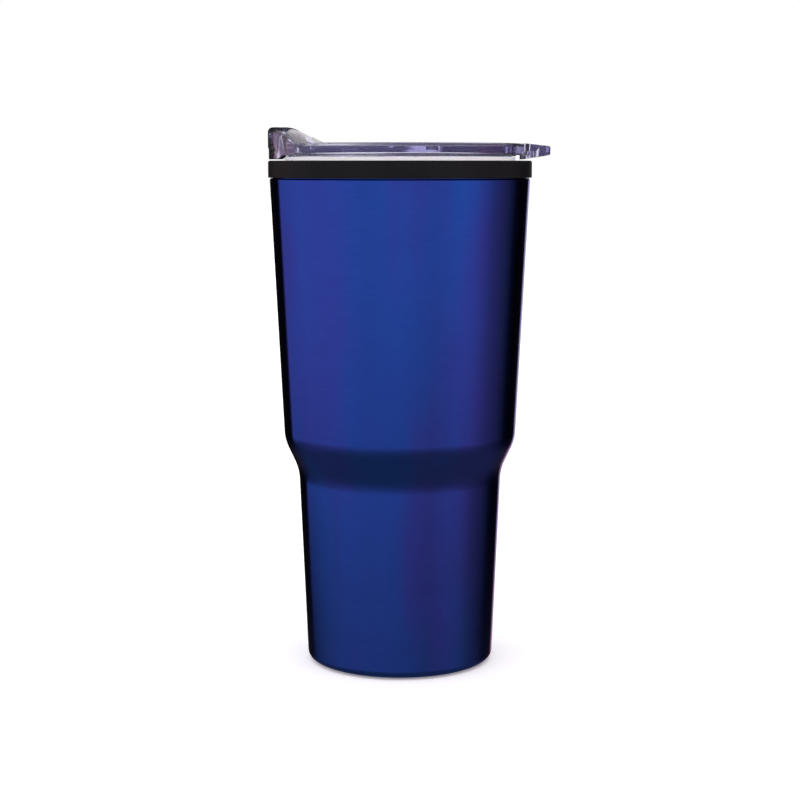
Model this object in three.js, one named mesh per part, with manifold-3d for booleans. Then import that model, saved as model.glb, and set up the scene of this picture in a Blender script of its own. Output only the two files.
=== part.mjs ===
// Insulated travel tumbler with a press-in slide lid, in millimetres, +Z up.
// The origin is the centre of the foot pad's underside, on the axis of the cup.
// The drinking spout points along -X and the lift tab along +X.
import * as THREE from "three";
import { mergeVertices } from "three/addons/utils/BufferGeometryUtils.js";
import Module from "manifold-3d";

// ---- Driving sizes of the cup ----
const rimRadius = 50.8; // outside of the rim band
const bodyHeight = 196; // table to the top of the rim
const bandHeight = 6.5; // height of the rim band on the outside
const bandStep = 0.6; // how far the band stands out from the steel
const shoulderRadius = 45.15; // steel at the top of the shoulder
const shoulderHeight = 88;
const gripRadius = 39.65; // steel at the bottom of the shoulder
const gripHeight = 76.2;
const footRadius = 36.4; // steel wall where it meets the foot
const footFillet = 3;
const shoulderFillet = 16; // convex, at the top of the shoulder
const gripFillet = 21; // concave, at the bottom of the shoulder
const shellWall = 0.6;
const airGap = 2.6; // between the steel and the liner
const linerWall = 1.8;
const linerFloor = 2.2;
const floorGap = 5; // between the base disc and the liner's floor
const floorFillet = 6;
const rimThickness = 1.6; // of the liner's top, over the steel
const rimFillet = 0.7;
const neckInset = 1.2; // the steel is necked in under the band by this much
const neckFillet = 0.5;
const lipSealThickness = 0.8;
const footFlange = 5.4; // width of the steel turned in at the foot
const weldOverlap = 2.2; // of the base disc on that flange
const discWall = 0.6;
const discRise = 0.7; // the disc's middle is pressed up by this much
const discStep = 0.6; // width of the slope up to the middle
const padProud = 0.5; // the foot pad stands below the steel by this much
const padInset = 3; // from the foot flange to the pad
const padChamfer = 0.4;

// ---- Driving sizes of the lid ----
const lidGap = 2; // under the lid's flange
const skirtDrop = 1.5; // the spout and the tab reach below the flange by this much
const lidOverlap = 2.8; // of the flange over the mouth of the cup
const lidRimHeight = 4.5;
const lidRimWall = 2;
const deckDrop = 1.4; // the deck lies below the lid's rim by this much
const deckThickness = 2;
const plugClearance = 0.6; // between the plug and the bore
const plugDepth = 9;
const plugWall = 2.8;
const grooveHeight = 4.2;
const grooveDepth = 1.3;
const grooveRise = 6.4; // from the bottom of the plug to the groove
const gasketClearance = 0.15; // between the gasket's lips and the bore
const gasketLip = 0.5; // how far each lip stands out
const lobeRadius = 31.9; // of the spout's outer wall, seen from above
const spoutRise = 6.2; // of the spout above the lid's rim
const spoutFlat = 9.3; // length of the spout's level top
const spoutSlope = THREE.MathUtils.degToRad(26);
const spoutDome = 78; // radius of the spout's top, seen from the front
const spoutWall = 2;
const flowMargin = 2; // of the shutter seal around the flow port
const flowLength = 8;
const flowWidth = 22;
const sipWidth = 5;
const sipLength = 14;
const sipInset = 0.5; // from the front of the flow port to the sip slot
const coreGap = 1; // between the shutter's guides and the hollows beside them
const coreReach = 25; // of those hollows from the middle
const ventRadius = 1.2;
const ventReach = 30; // from the axis
const tabReach = 6.7; // beyond the rim band
const tabRootWidth = 28;
const tabEndWidth = 20;
const tabCorner = 4;
const tabWall = 2;
const tabTip = 6.5; // solid length at the end of the tab
const tabDrop = 1; // the top falls by this much to its end
const tabLift = 1.6; // the underside rises by this much to its end
const tabRamp = 5; // length of that rise

// ---- Driving sizes of the slide closure ----
const travel = 10;
const slideGap = 0.2; // between pieces that slide on each other
const sideGap = 0.3; // beside pieces that slide along a guide
const buttonLength = 25;
const buttonWidth = 15;
const buttonCorner = 3;
const buttonPlate = 0.8;
const gripRidges = 4;
const ridgeWidth = 1.2;
const ridgePitch = 2.8;
const ridgeLength = 10;
const trackDepth = 0.8; // the button's track is sunk in the deck
const postLength = 4;
const postWidth = 3.6;
const postSplit = 1; // gap between the two snap legs
const barb = 0.6;
const barbHeight = 0.6;
const shutterThickness = 1.4;
const shutterTail = 5; // from the post to the shutter's back edge
const sealThickness = 0.8;
const sealRecess = 0.6;
const sealBorder = 1; // of the shutter around its seal
const ribWidth = 1.3;
const ribHeight = 1.6;

// ---- Clearances and facets ----
const fitGap = 0.2; // between pieces that touch and stay put
const facets = 48;
const arcSagitta = 0.05; // of a fillet's chords
const overrun = 5; // how far a cutting prism runs past what it cuts

// ---- Places worked out from those sizes ----
const shellTopRadius = rimRadius - bandStep;
const bandBottom = bodyHeight - bandHeight;
const neckRadius = shellTopRadius - neckInset;
const channelRoof = bodyHeight - rimThickness;
const neckTop = channelRoof - lipSealThickness - 2 * fitGap;
const linerInset = shellWall + airGap; // steel's outside to the liner's outside
const boreInset = linerInset + linerWall;
const mouthRadius = shellTopRadius - boreInset;
const boreSlope = (mouthRadius - (shoulderRadius - boreInset)) / (bodyHeight - shoulderHeight);
const boreAt = (z) => mouthRadius - (bodyHeight - z) * boreSlope;
const discFlangeBottom = padProud + shellWall + fitGap;
const discMiddleBottom = discFlangeBottom + discRise;
const linerBottom = discMiddleBottom + discWall + floorGap;
const flangeInnerRadius = footRadius - footFlange;

const lidBottom = bodyHeight + lidGap;
const skirtBottom = lidBottom - skirtDrop;
const lidTop = lidBottom + lidRimHeight;
const lidRadius = mouthRadius + lidOverlap;
const deckTop = lidTop - deckDrop;
const deckBottom = deckTop - deckThickness;
const plugBottom = bodyHeight - plugDepth;
const plugInner = mouthRadius - plugClearance - plugWall;
const plugAt = (z) => boreAt(z) - plugClearance;
const grooveBottom = plugBottom + grooveRise;
const grooveTop = grooveBottom + grooveHeight;
const grooveRadius = plugAt(grooveBottom) - grooveDepth;
const lobeCentre = -(rimRadius - lobeRadius);
const spoutTop = lidTop + spoutRise;
const slopeStart = -(rimRadius - spoutFlat);
const slopeEnd = slopeStart + (spoutTop - deckTop) / Math.tan(spoutSlope);

const shutterRadius = plugInner - 2 * sideGap; // its rounded front edge
const sealRadius = shutterRadius - sealBorder;
const flowRadius = shutterRadius - flowMargin;
const flowEnd = -(flowRadius - flowLength);
const shutterWidth = flowWidth + 2 * (flowMargin + sealBorder);
const buttonFront = slopeEnd + fitGap + sideGap;
const postCentre = buttonFront + buttonLength / 2;
const trackFloor = deckTop - trackDepth;
const sealTop = deckBottom - slideGap;
const sealBottom = sealTop - sealThickness;
const shutterTop = sealBottom - fitGap / 2 + sealRecess;
const shutterBottom = shutterTop - shutterThickness;
const shutterBack = postCentre + postLength / 2 + shutterTail;

// ---- Helpers ----
const wasm = await Module();
wasm.setup();

// A line through corners [x, y, fillet], each corner rounded by its own fillet.
function rounded(corners) {
  const points = [];
  corners.forEach(([x, y, fillet = 0], i) => {
    const corner = new THREE.Vector2(x, y);
    const before = corners[i - 1];
    const after = corners[i + 1];
    if (!fillet || !before || !after) {
      points.push(corner);
      return;
    }
    const back = new THREE.Vector2(before[0], before[1]).sub(corner).normalize();
    const ahead = new THREE.Vector2(after[0], after[1]).sub(corner).normalize();
    const half = Math.acos(back.dot(ahead)) / 2;
    const centre = back.clone().add(ahead).setLength(fillet / Math.sin(half)).add(corner);
    const start = back.setLength(fillet / Math.tan(half)).add(corner).sub(centre).angle();
    const end = ahead.setLength(fillet / Math.tan(half)).add(corner).sub(centre).angle();
    const sweep = Math.atan2(Math.sin(end - start), Math.cos(end - start));
    const step = 2 * Math.acos(1 - arcSagitta / fillet);
    const steps = Math.max(2, Math.ceil(Math.abs(sweep) / step));
    for (let k = 0; k <= steps; k += 1) {
      const angle = start + (sweep * k) / steps;
      points.push(new THREE.Vector2(Math.cos(angle), Math.sin(angle)).multiplyScalar(fillet).add(centre));
    }
  });
  return points;
}

// A turned piece about +Z. Its outline runs up the outside and down the inside.
function turned(outline) {
  return new THREE.LatheGeometry(outline, facets).rotateX(Math.PI / 2);
}

// Closes an outline that does not touch the axis.
function ring(outline) {
  return turned([...outline, outline[0]]);
}

// A prism that stands on z = bottom.
function upright(shape, bottom, top) {
  const settings = { depth: top - bottom, bevelEnabled: false, curveSegments: facets / 4 };
  return new THREE.ExtrudeGeometry(shape, settings).translate(0, 0, bottom);
}

// A prism along Y, from a shape drawn in X and Z.
function alongY(shape, width) {
  const settings = { depth: width, bevelEnabled: false, curveSegments: facets / 4 };
  return new THREE.ExtrudeGeometry(shape, settings).rotateX(Math.PI / 2).translate(0, width / 2, 0);
}

// A prism along X, from a shape drawn in Y and Z, from x = from to x = to.
function alongX(shape, from, to) {
  const settings = { depth: to - from, bevelEnabled: false, curveSegments: facets / 4 };
  const prism = new THREE.ExtrudeGeometry(shape, settings);
  return prism.rotateX(Math.PI / 2).rotateZ(Math.PI / 2).translate(from, 0, 0);
}

function block(x0, x1, y0, y1, z0, z1) {
  const box = new THREE.BoxGeometry(x1 - x0, y1 - y0, z1 - z0);
  return box.translate((x0 + x1) / 2, (y0 + y1) / 2, (z0 + z1) / 2);
}

// A rectangle seen from above, with round corners.
function roundedRectangle(x0, x1, width, corner) {
  const half = width / 2;
  const shape = new THREE.Shape();
  shape.moveTo(x0 + corner, -half);
  shape.lineTo(x1 - corner, -half);
  shape.absarc(x1 - corner, -half + corner, corner, -Math.PI / 2, 0);
  shape.lineTo(x1, half - corner);
  shape.absarc(x1 - corner, half - corner, corner, 0, Math.PI / 2);
  shape.lineTo(x0 + corner, half);
  shape.absarc(x0 + corner, half - corner, corner, Math.PI / 2, Math.PI);
  shape.lineTo(x0, -half + corner);
  shape.absarc(x0 + corner, -half + corner, corner, Math.PI, 1.5 * Math.PI);
  return shape;
}

// The part of a disc about the axis that lies in |y| < width / 2 and x < back.
function roundFronted(radius, width, back) {
  const half = width / 2;
  const angle = Math.asin(half / radius);
  const shape = new THREE.Shape();
  shape.moveTo(back, half);
  shape.lineTo(-radius * Math.cos(angle), half);
  shape.absarc(0, 0, radius, Math.PI - angle, Math.PI + angle);
  shape.lineTo(back, -half);
  return shape;
}

function solid(geometry) {
  const bare = geometry.clone().deleteAttribute("normal").deleteAttribute("uv");
  const merged = mergeVertices(bare, 1e-4);
  const vertProperties = merged.attributes.position.array;
  return new wasm.Manifold(
    new wasm.Mesh({ numProp: 3, vertProperties, triVerts: new Uint32Array(merged.index.array) }),
  );
}

function geometryOf(made) {
  const { vertProperties, triVerts } = made.getMesh();
  const geometry = new THREE.BufferGeometry();
  geometry.setAttribute("position", new THREE.BufferAttribute(vertProperties, 3));
  geometry.setIndex(new THREE.BufferAttribute(triVerts, 1));
  const faceted = geometry.toNonIndexed();
  faceted.computeVertexNormals();
  return faceted;
}

function finish(color, roughness, metalness, opacity = 1) {
  return new THREE.MeshStandardMaterial({ color, roughness, metalness, opacity, transparent: opacity < 1 });
}

function piece(name, geometry, material) {
  const mesh = new THREE.Mesh(geometry, material);
  mesh.name = name;
  return mesh;
}

// ---- Materials ----
const blueSteel = finish("#16348f", 0.32, 0.9);
const bareSteel = finish("#a9acb0", 0.35, 1);
const blackPlastic = finish("#17171a", 0.6, 0);
const blackRubber = finish("#1d1d1f", 0.85, 0);
const clearPlastic = finish("#d9d6ec", 0.05, 0, 0.35);
const clearSilicone = finish("#e4e4ea", 0.45, 0, 0.6);

// ---- Cup ----

// The steel wall's outline from the foot to just under the band, moved in by inset.
function wallCorners(inset, bottom, fillet, topRadius, top) {
  return [
    [footRadius - inset, bottom, fillet],
    [gripRadius - inset, gripHeight, gripFillet],
    [shoulderRadius - inset, shoulderHeight, shoulderFillet],
    [topRadius, top],
  ];
}

function outerShell() {
  const ledge = bandBottom - fitGap;
  const outside = [
    [flangeInnerRadius, padProud],
    ...wallCorners(0, padProud, footFillet, shellTopRadius, ledge - neckFillet),
    [shellTopRadius - neckFillet, ledge],
    [neckRadius, ledge],
    [neckRadius, neckTop],
  ];
  const inside = [
    [flangeInnerRadius, padProud + shellWall],
    ...wallCorners(
      shellWall,
      padProud + shellWall,
      footFillet - shellWall,
      shellTopRadius - shellWall,
      ledge - shellWall - neckFillet,
    ),
    [neckRadius - shellWall, ledge - shellWall],
    [neckRadius - shellWall, neckTop],
  ];
  return ring([...rounded(outside), ...rounded(inside).reverse()]);
}

function innerLiner() {
  const inside = [
    [0, linerBottom + linerFloor],
    ...wallCorners(boreInset, linerBottom + linerFloor, floorFillet, mouthRadius, bodyHeight),
  ];
  inside.at(-1)[2] = rimFillet;
  const rim = [
    [rimRadius, bodyHeight, rimFillet],
    [rimRadius, bandBottom],
    [neckRadius + fitGap, bandBottom],
    [neckRadius + fitGap, channelRoof],
    [mouthRadius + linerWall, channelRoof],
  ];
  const outside = wallCorners(linerInset, linerBottom, floorFillet + linerWall, mouthRadius + linerWall, channelRoof);
  const outline = rounded([...inside, ...rim, ...outside.reverse().slice(1), [0, linerBottom]]);
  return turned(outline.reverse());
}

function baseDisc() {
  const rise = [flangeInnerRadius - weldOverlap / 2 - discStep, flangeInnerRadius - weldOverlap / 2];
  const edge = flangeInnerRadius + weldOverlap;
  return turned(
    rounded([
      [0, discMiddleBottom],
      [rise[0], discMiddleBottom],
      [rise[1], discFlangeBottom],
      [edge, discFlangeBottom],
      [edge, discFlangeBottom + discWall],
      [rise[1] + discStep, discFlangeBottom + discWall],
      [rise[0] + discStep, discMiddleBottom + discWall],
      [0, discMiddleBottom + discWall],
    ]),
  );
}

function footPad() {
  const radius = flangeInnerRadius - padInset;
  const top = discMiddleBottom - fitGap;
  return turned(
    rounded([
      [0, 0],
      [radius - padChamfer, 0],
      [radius, padChamfer],
      [radius, top],
      [0, top],
    ]),
  );
}

function lipSeal() {
  const inner = mouthRadius + linerWall + fitGap;
  const bottom = neckTop + fitGap;
  const top = bottom + lipSealThickness;
  return ring(
    rounded([
      [inner, bottom],
      [neckRadius, bottom],
      [neckRadius, top],
      [inner, top],
    ]),
  );
}

// ---- Lid ----

// Rim, deck and plug, with the groove for the gasket.
function lidTurning() {
  return turned(
    rounded([
      [0, deckBottom],
      [plugInner, deckBottom],
      [plugInner, plugBottom],
      [plugAt(plugBottom), plugBottom],
      [plugAt(grooveBottom), grooveBottom],
      [grooveRadius, grooveBottom],
      [grooveRadius, grooveTop],
      [plugAt(grooveTop), grooveTop],
      [plugAt(lidBottom), lidBottom],
      [lidRadius, lidBottom],
      [lidRadius, lidTop, rimFillet],
      [lidRadius - lidRimWall, lidTop],
      [lidRadius - lidRimWall, deckTop],
      [0, deckTop],
    ]),
  );
}

// What lies under the spout's sloping and domed top, both lowered by drop.
function underSpoutTop(drop) {
  const floor = 0;
  const ridge = new THREE.Shape();
  ridge.moveTo(-rimRadius - overrun, floor);
  ridge.lineTo(slopeEnd, floor);
  ridge.lineTo(slopeEnd, deckTop - drop);
  ridge.lineTo(slopeStart, spoutTop - drop);
  ridge.lineTo(-rimRadius - overrun, spoutTop - drop);
  const halfWidth = rimRadius;
  const fall = Math.asin(halfWidth / spoutDome);
  const dome = new THREE.Shape();
  dome.moveTo(-halfWidth, floor);
  dome.lineTo(halfWidth, floor);
  dome.absarc(0, spoutTop - drop - spoutDome, spoutDome, Math.PI / 2 - fall, Math.PI / 2 + fall);
  const domed = solid(alongX(dome, -rimRadius - overrun, slopeEnd + overrun));
  return solid(alongY(ridge, 2 * halfWidth)).intersect(domed);
}

// A disc seen from above, as an upright cylinder.
function cylinder(x, radius, bottom, top) {
  return solid(upright(new THREE.Shape().absarc(x, 0, radius, 0, 2 * Math.PI), bottom, top));
}

// The spout fills the round flange and bulges out of it along the lobe's arc.
// The bulge is hollow from below, over the rim of the cup.
function spout() {
  const front = solid(block(-rimRadius - overrun, -mouthRadius / 2, -rimRadius, rimRadius, 0, spoutTop + overrun));
  const lobe = cylinder(lobeCentre, lobeRadius, skirtBottom, spoutTop).intersect(front);
  const bulge = lobe.subtract(cylinder(0, mouthRadius, skirtBottom - overrun, spoutTop + overrun));
  const hollow = cylinder(lobeCentre, lobeRadius - spoutWall, skirtBottom - overrun, spoutTop + overrun);
  const core = hollow.subtract(cylinder(0, mouthRadius - fitGap, 0, spoutTop + 2 * overrun));
  const hill = cylinder(0, lidRadius, deckBottom + deckThickness / 2, spoutTop);
  const behind = solid(block(-rimRadius, slopeEnd, -rimRadius, rimRadius, 0, spoutTop + overrun));
  const outside = hill.intersect(behind).add(bulge).intersect(underSpoutTop(0));
  return { outside, core: core.intersect(front).intersect(underSpoutTop(spoutWall)) };
}

// The way for the drink, from under the deck up to the spout's roof, with the slot in that
// roof. Beside it the spout is hollow from below too.
function spoutPassage() {
  const port = solid(upright(roundFronted(flowRadius, flowWidth, flowEnd), plugBottom, spoutTop));
  const guide = shutterWidth / 2 + sideGap + ribWidth + coreGap;
  const around = cylinder(0, flowRadius, plugBottom, spoutTop);
  const wide = solid(block(-rimRadius, flowEnd, -coreReach, coreReach, plugBottom, spoutTop));
  const middle = solid(block(-rimRadius, 0, -guide, guide, 0, spoutTop + overrun));
  const cores = wide.intersect(around).subtract(middle);
  const slotFront = -(flowRadius - sipInset);
  const slotShape = roundedRectangle(slotFront, slotFront + sipWidth, sipLength, sipWidth / 2 - fitGap);
  const slot = upright(slotShape, deckTop, spoutTop + overrun);
  return port.add(cores).intersect(underSpoutTop(spoutWall)).add(solid(slot));
}

// A lift tab with a skirt at its sides and a solid tip, open underneath.
function tab() {
  const root = lidRadius - lidRimWall / 2;
  const end = rimRadius + tabReach;
  const outline = (inset, tip) => {
    const taper = (tabRootWidth - tabEndWidth) / 2 / (end - root);
    const half = (x) => tabRootWidth / 2 - inset - (x - root) * taper;
    const corners = [
      [root + inset, -half(root)],
      [end - tip, -half(end), tabCorner - inset],
      [end - tip, half(end), tabCorner - inset],
      [root + inset, half(root)],
    ];
    return new THREE.Shape(rounded(corners));
  };
  const side = (inset) => {
    const shape = new THREE.Shape();
    shape.moveTo(root, skirtBottom - inset * overrun);
    shape.lineTo(end - tabRamp, skirtBottom - inset * overrun);
    shape.lineTo(end, skirtBottom + tabLift - inset * overrun);
    shape.lineTo(end, lidTop - tabDrop - inset);
    shape.lineTo(root, lidTop - inset);
    return shape;
  };
  const cut = (inset, tip) =>
    solid(upright(outline(inset, tip), skirtBottom - 2 * overrun, lidTop)).intersect(
      solid(alongY(side(inset), tabRootWidth)),
    );
  const flange = cylinder(0, lidRadius - lidRimWall / 4, lidBottom - overrun, lidTop);
  return cut(0, 0).subtract(cut(tabWall, tabTip).subtract(flange));
}

function lidBody() {
  const trackEnd = buttonFront + buttonLength + travel + 2 * sideGap;
  const trackShape = roundedRectangle(
    buttonFront - sideGap,
    trackEnd - sideGap,
    buttonWidth + 2 * sideGap,
    buttonCorner + sideGap,
  );
  const track = solid(upright(trackShape, trackFloor, deckTop + overrun));
  const slotStart = postCentre - postLength / 2 - sideGap;
  const slotEnd = postCentre + postLength / 2 + travel + sideGap;
  const slotHalf = postWidth / 2 + sideGap;
  const slot = solid(block(slotStart, slotEnd, -slotHalf, slotHalf, deckBottom - overrun, deckTop));
  const vent = cylinder(ventReach, ventRadius, deckBottom - overrun, deckTop + overrun);
  const { outside, core } = spout();
  let lid = solid(lidTurning()).add(outside).subtract(core).add(tab());
  lid = lid.subtract(spoutPassage()).subtract(track).subtract(slot).subtract(vent);
  for (const side of [-1, 1]) {
    const near = side * (shutterWidth / 2 + sideGap);
    const far = near + side * ribWidth;
    const front = -Math.sqrt(plugInner ** 2 - far ** 2) + overrun / 2;
    const rib = block(
      front,
      shutterBack + travel,
      Math.min(near, far),
      Math.max(near, far),
      deckBottom - ribHeight,
      deckBottom + deckThickness / 4,
    );
    lid = lid.add(solid(rib));
  }
  return geometryOf(lid);
}

// A silicone ring with two lips, stretched into the groove of the plug. It stands up past
// the rim of the cup, so that it shows under the flange.
function lidGasket() {
  const inner = grooveRadius + fitGap;
  const bottom = grooveBottom + fitGap;
  const top = grooveTop - fitGap;
  const lip = (z) => boreAt(z) - gasketClearance;
  const land = lip(bottom) - gasketLip;
  const step = (top - bottom) / 6;
  return ring(
    rounded([
      [inner, bottom],
      [land, bottom],
      [lip(bottom + step), bottom + step],
      [land, bottom + 2 * step],
      [lip(bottom + 3 * step), bottom + 3 * step],
      [land, bottom + 4 * step],
      [land, top],
      [inner, top],
    ]),
  );
}

// ---- Slide closure ----

// The thumb button lies in its track, and its two legs snap through the shutter.
function slideButton() {
  const bottom = trackFloor + slideGap;
  const plateShape = roundedRectangle(buttonFront, buttonFront + buttonLength, buttonWidth, buttonCorner);
  let button = solid(upright(plateShape, bottom, bottom + buttonPlate));
  for (let k = 0; k < gripRidges; k += 1) {
    const x = postCentre + (k - (gripRidges - 1) / 2) * ridgePitch;
    const ridge = block(
      x - ridgeWidth / 2,
      x + ridgeWidth / 2,
      -ridgeLength / 2,
      ridgeLength / 2,
      bottom + buttonPlate / 2,
      lidTop - fitGap,
    );
    button = button.add(solid(ridge));
  }
  const half = postLength / 2;
  const barbTop = shutterBottom - slideGap / 2;
  for (const side of [-1, 1]) {
    const legShape = new THREE.Shape();
    legShape.moveTo((side * postSplit) / 2, bottom + buttonPlate / 2);
    legShape.lineTo((side * postSplit) / 2, barbTop - barbHeight);
    legShape.lineTo(side * half, barbTop - barbHeight);
    legShape.lineTo(side * (half + barb), barbTop);
    legShape.lineTo(side * half, barbTop);
    legShape.lineTo(side * half, bottom + buttonPlate / 2);
    button = button.add(solid(alongY(legShape, postWidth).translate(postCentre, 0, 0)));
  }
  return geometryOf(button);
}

// The shutter hangs under the deck and closes the flow port with its seal.
function shutter() {
  const plate = solid(upright(roundFronted(shutterRadius, shutterWidth, shutterBack), shutterBottom, shutterTop));
  const recessBack = flowEnd + flowMargin + fitGap;
  const recess = solid(
    upright(
      roundFronted(sealRadius + fitGap, shutterWidth - 2 * sealBorder + 2 * fitGap, recessBack),
      shutterTop - sealRecess,
      shutterTop + overrun,
    ),
  );
  const holeHalf = postLength / 2 + fitGap / 2;
  const widthHalf = postWidth / 2 + fitGap / 2;
  const hole = solid(
    block(
      postCentre - holeHalf,
      postCentre + holeHalf,
      -widthHalf,
      widthHalf,
      shutterBottom - overrun,
      shutterTop + overrun,
    ),
  );
  return geometryOf(plate.subtract(recess).subtract(hole));
}

function shutterSeal() {
  const shape = roundFronted(sealRadius, shutterWidth - 2 * sealBorder, flowEnd + flowMargin);
  return upright(shape, sealBottom, sealTop);
}

// ---- The whole tumbler ----
const tumbler = new THREE.Group();
const cup = new THREE.Group();
cup.add(piece("outer_shell", outerShell(), blueSteel));
cup.add(piece("inner_liner", innerLiner(), blackPlastic));
cup.add(piece("lip_seal", lipSeal(), clearSilicone));
cup.add(piece("base_disc", baseDisc(), bareSteel));
cup.add(piece("foot_pad", footPad(), blackRubber));
const lid = new THREE.Group();
lid.add(piece("lid_body", lidBody(), clearPlastic));
lid.add(piece("lid_gasket", lidGasket(), clearSilicone));
const closure = new THREE.Group();
closure.add(piece("slide_button", slideButton(), clearPlastic));
closure.add(piece("shutter", shutter(), clearPlastic));
closure.add(piece("shutter_seal", shutterSeal(), clearSilicone));
lid.add(closure);
tumbler.add(cup, lid);

export default tumbler;
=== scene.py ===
import math

import bmesh
import bpy
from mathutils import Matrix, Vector


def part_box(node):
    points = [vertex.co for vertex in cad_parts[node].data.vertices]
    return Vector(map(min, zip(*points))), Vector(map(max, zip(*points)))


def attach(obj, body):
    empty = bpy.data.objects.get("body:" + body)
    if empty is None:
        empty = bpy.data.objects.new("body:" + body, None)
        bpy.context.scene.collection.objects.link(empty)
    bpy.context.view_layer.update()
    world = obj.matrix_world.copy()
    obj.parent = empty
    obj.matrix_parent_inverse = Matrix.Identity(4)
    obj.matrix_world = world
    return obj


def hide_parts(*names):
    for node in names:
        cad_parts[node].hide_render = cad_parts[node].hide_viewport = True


# An insulated travel tumbler: a stepped steel body lacquered in translucent blue, a black
# liner that turns over the rim as a band, and a clear press-in lid with a sliding closure.
# Pieces are modelled in millimetres and brought to metres when they are finished.

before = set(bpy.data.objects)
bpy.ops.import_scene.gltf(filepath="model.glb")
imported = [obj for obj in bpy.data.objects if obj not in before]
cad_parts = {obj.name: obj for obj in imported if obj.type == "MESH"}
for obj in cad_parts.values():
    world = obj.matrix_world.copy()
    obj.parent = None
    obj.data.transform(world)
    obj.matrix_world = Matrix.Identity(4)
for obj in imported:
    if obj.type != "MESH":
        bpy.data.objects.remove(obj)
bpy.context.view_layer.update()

MM = 0.001
AROUND = 256  # facets of a large turned piece
MAP_HEIGHT = 200  # height for one unit of U in the turning map
FIT = 0.2  # room left between pieces that touch
NEAR = 0.01  # points of the lid this close are at the same place
TINY = 1e-3  # and so are corners of a mesh while it is being cut


def box_mm(node):
    low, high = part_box(node)
    return low / MM, high / MM


shell_low, shell_high = box_mm("outer_shell")
liner_low, liner_high = box_mm("inner_liner")
lid_low, lid_high = box_mm("lid_body")
gasket_low, gasket_high = box_mm("lid_gasket")
lip_low, lip_high = box_mm("lip_seal")
disc_low, disc_high = box_mm("base_disc")
_, pad_high = box_mm("foot_pad")
button_low, button_high = box_mm("slide_button")
shutter_low, shutter_high = box_mm("shutter")
seal_low, seal_high = box_mm("shutter_seal")

# ---- Sizes of the cup ----
RIM_RADIUS = liner_high.x
RIM_TOP = liner_high.z
BAND_BOTTOM = RIM_TOP - 6.5
BAND_LOWER_ROUND = 0.25
SHELL_TOP = shell_high.x  # radius of the steel under the band
SHELL_FOOT = shell_low.z
LEDGE = BAND_BOTTOM - FIT  # where the steel turns in under the band
LEDGE_CHAMFER = 0.5
NECK = SHELL_TOP - 1.2
SHOULDER = (45.15, 88)  # radius and height of the steel at the top of the step
GRIP = (39.65, 76.2)  # and at the bottom of it
SHOULDER_ROUND = 16
GRIP_ROUND = 21
FOOT_RADIUS = 36.4
FOOT_ROUND = 3
FOOT_INNER = FOOT_RADIUS - 5.4  # the steel turned in at the foot ends here
SHELL_WALL = 0.6
LINER_INSET = 3.2  # steel's outside to the liner's outside
BORE_INSET = 5  # steel's outside to the bore
FLOOR_ROUND = 6
LINER_WALL = BORE_INSET - LINER_INSET
LINER_FLOOR = 2.2
CHANNEL_ROOF = RIM_TOP - 1.6
EDGE_ROUND = 0.7
MOUTH = SHELL_TOP - BORE_INSET
BORE_SLOPE = (SHELL_TOP - SHOULDER[0]) / (RIM_TOP - SHOULDER[1])
DISC_LAND = 3.3  # width of the base plate's flat edge
DISC_BEND = 0.6  # width of the bend that its middle rises by
PAD_DISH = 6  # radius of the dished middle of the foot pad
PAD_RINGS = (11, 15.2, 19.4)  # radii of the grooves under it
PAD_GROOVE = 0.35  # depth of the dish and the grooves
GROOVE_WIDTH = 1.6
GROOVE_SLOPE = 0.4
SOFT_ROUND = 0.15  # rounding of the silicone rings

# ---- Sizes of the lid ----
LID_RADIUS = lid_high.y
LID_BOTTOM = RIM_TOP + 2
SKIRT_DROP = 1.5  # the spout and the tab reach below the flange by this much
SKIRT_BOTTOM = LID_BOTTOM - SKIRT_DROP
LID_TOP = LID_BOTTOM + 4.5
RIM_WALL = 2
RIM_INNER = LID_RADIUS - RIM_WALL
DECK_TOP = LID_TOP - 1.4
DECK_BOTTOM = DECK_TOP - 2
PLUG_BOTTOM = lid_low.z
PLUG_INNER = MOUTH - 3.4
PLUG_CLEARANCE = 0.6
GROOVE = (gasket_low.z - FIT, gasket_high.z + FIT)
GROOVE_DEPTH = 1.3
GASKET_CLEARANCE = 0.15
LIP_LENGTH = 0.5
FLANGE_INNER = 45
FLANGE_BEVEL = 0.8
UNDERSIDE = LID_BOTTOM + 0.35  # the flange's underside and its rounding end here
ROOF_RINGS = (45.6, 46.0)  # rings of the flange's underside that rise in the spout's hollow
SKIRT_RING = 46.4  # and the one that becomes the foot of the spout's front wall
RING_REACH = 0.1  # a ring is told apart by its radius, give or take this
SPOUT_TOP = lid_high.z
LOBE_REACH = -lid_low.x
LOBE_RADIUS = 31.9
LOBE_BLEND = 0.8
BULGE_BLEND = 1.2
SPOUT_FLAT = 9.3
SPOUT_SLOPE = math.radians(26)
SPOUT_DOME = 78
SPOUT_WALL = 2
CREST_ROUND = 1.8
CREST_BLEND = 1.2
CREST_GROWTH = 3  # the edge is rounded in full where the spout has risen this much
ROOT_BLEND = 2
SLOPE_START = -(LOBE_REACH - SPOUT_FLAT)
EDGE_STEP = 200.4  # the spout's front is set back by a hair below this height
STEP_HALF = 0.15
SET_BACK = 0.3
TAB_END = lid_high.x
TAB_TIP = 6.5  # the end of the tab is solid for this length
TAB_HALF = 14
TAB_END_HALF = 10
TAB_CORNER = 4
TAB_DROP = 1  # the tab's top falls by this much at its end
TAB_RISE = 1.6  # and its underside rises by this much
TAB_HOLLOW_HALF = 9.4
PORT_LENGTH = 8
PORT_HALF = 11
CORE_SIDES = (16.6, 25)  # the hollows beside the port lie between these distances
SIP_HALF = 7
VENT_PLACE = 30
VENT_RADIUS = 1.2
RAIL_HALF = 0.65
RAIL_DEPTH = 1.6

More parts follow.
